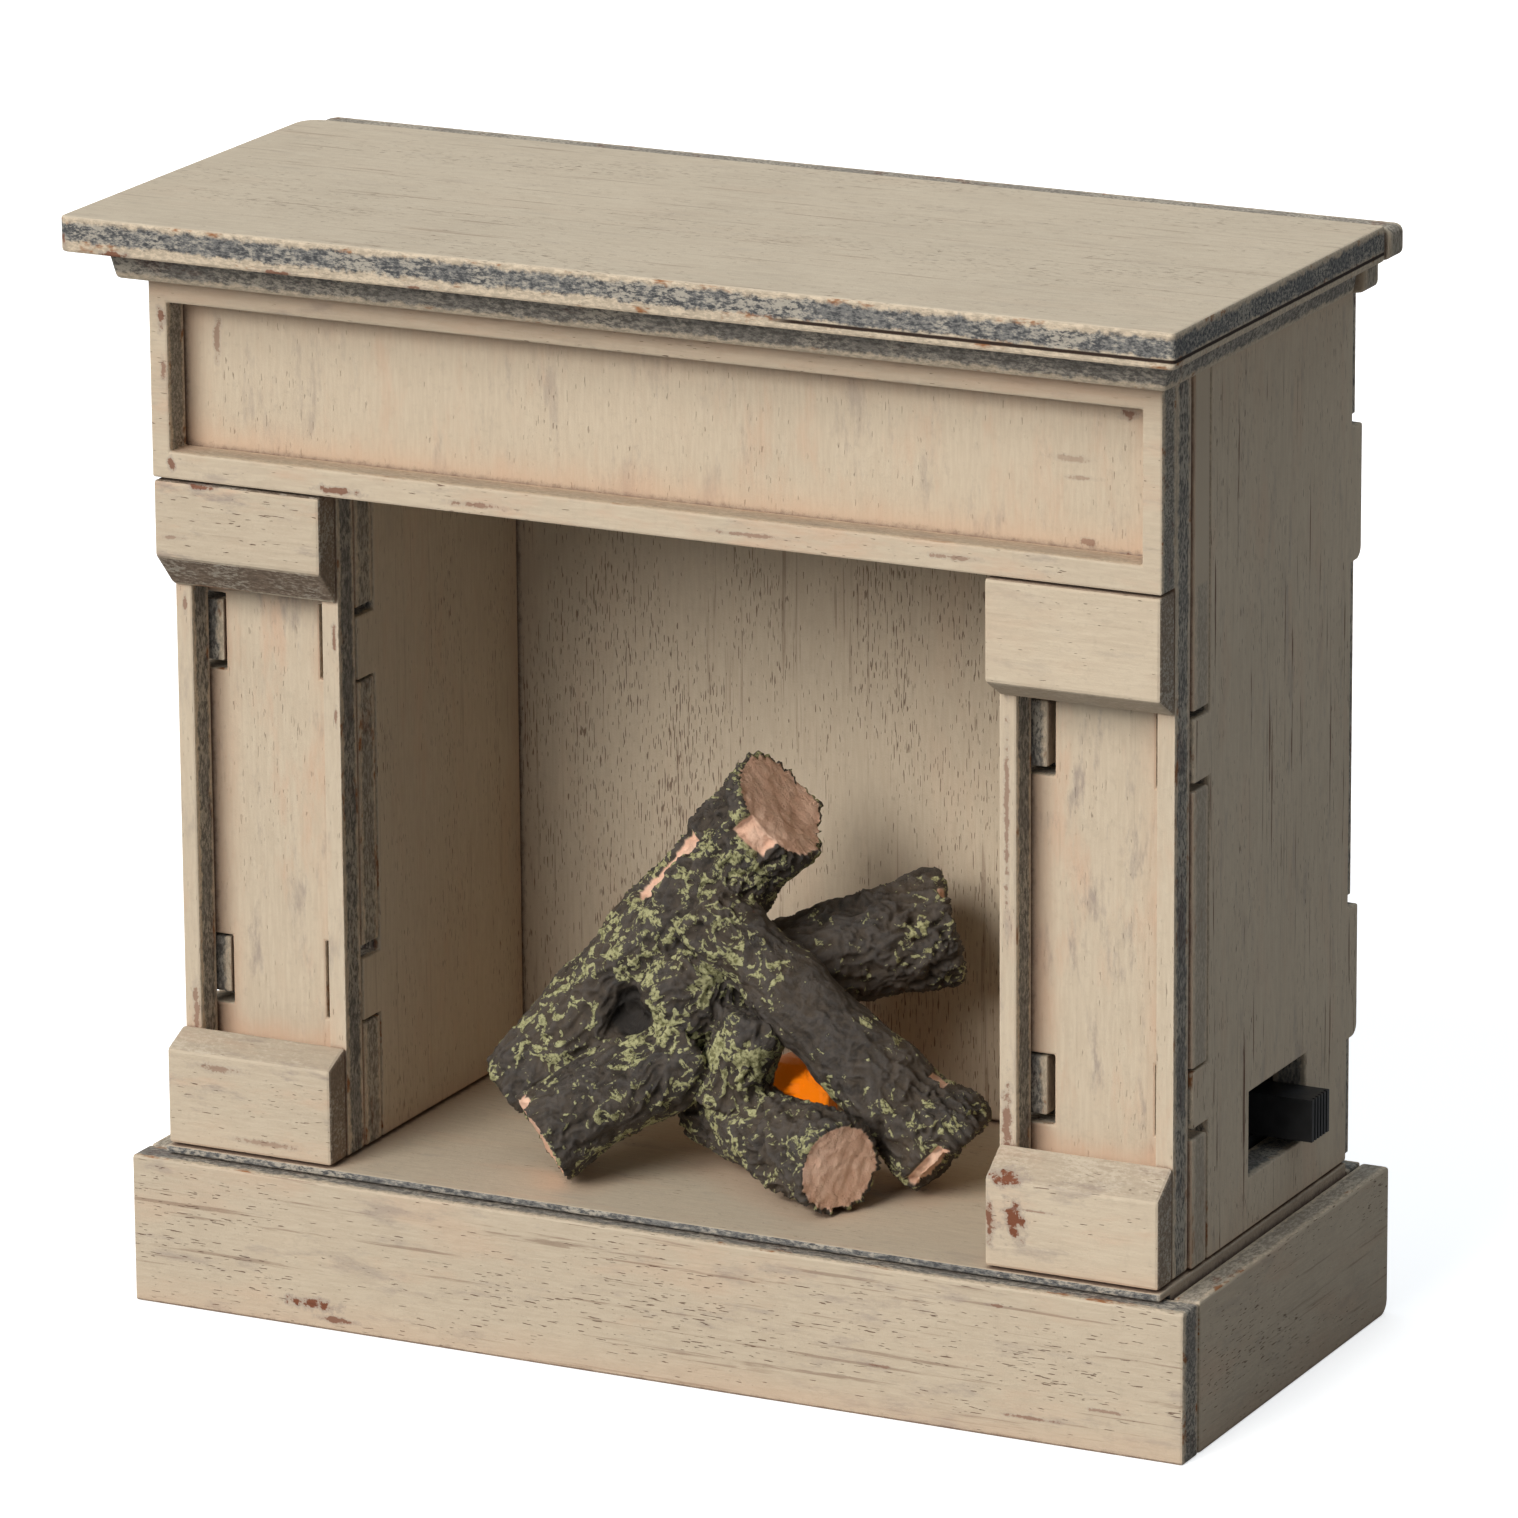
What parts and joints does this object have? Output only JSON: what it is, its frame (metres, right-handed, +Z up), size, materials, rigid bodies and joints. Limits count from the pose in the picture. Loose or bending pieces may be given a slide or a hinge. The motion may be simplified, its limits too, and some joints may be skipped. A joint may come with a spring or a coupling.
{
  "type": "miniature fireplace mantel",
  "caption": "Dolls' house fireplace: painted ply mantel with pilasters, frieze and hearth, a cast log stack lit from below, and a slide switch in its side.",
  "frame": {"origin": "middle of the bounding box, on the surface that the base stands on", "axes": "+X along the mantel to its right seen from the front (the switch side), +Y from the front to the back, +Z up"},
  "size_m": [0.1304, 0.0624, 0.1234],
  "materials": {
    "painted_ply": "chalky cream paint, brushed and worn over dark edges",
    "log_resin": "matt painted resin",
    "amber_lens": "translucent amber",
    "led_resin": "clear warm white",
    "lead_red": "satin PVC",
    "black_plastic": "satin black",
    "plated_steel": "nickel plated",
    "cell_wrap": "printed film, plain"
  },
  "bodies": {
    "mantel": {"mantel_shelf": "painted_ply", "cornice_board": "painted_ply", "back_panel": "painted_ply", "rear_cover": "painted_ply", "face_board": "painted_ply", "surround_overlay": "painted_ply", "frieze_frame": "painted_ply", "cap_block_left": "painted_ply", "cap_block_right": "painted_ply", "plinth_block_left": "painted_ply", "plinth_block_right": "painted_ply", "side_panel_left": "painted_ply", "side_panel_right": "painted_ply", "cheek_left": "painted_ply", "cheek_right": "painted_ply", "firebox_ceiling": "painted_ply", "hearth_floor": "painted_ply", "base_front": "painted_ply", "base_left": "painted_ply", "base_right": "painted_ply", "base_back": "painted_ply", "base_plate": "painted_ply", "log_stack": "log_resin", "ember_lens": "amber_lens", "led": "led_resin", "led_lead_red": "lead_red", "led_lead_black": "black_plastic", "battery_box": "black_plastic", "battery_cover": "painted_ply", "cover_screw": "plated_steel", "cell_front": "cell_wrap", "cell_rear": "cell_wrap", "contact_bridge": "plated_steel", "contact_plate": "plated_steel", "contact_spring_low": "plated_steel", "contact_spring_high": "plated_steel", "switch_body": "black_plastic"},
    "knob": {"switch_knob": "black_plastic"}
  },
  "joints": [
    {"name": "switch_slide", "type": "slide", "parent": "mantel", "child": "knob", "axis": [0, 1, 0], "range_m": [-0.004, 0]}
  ]
}
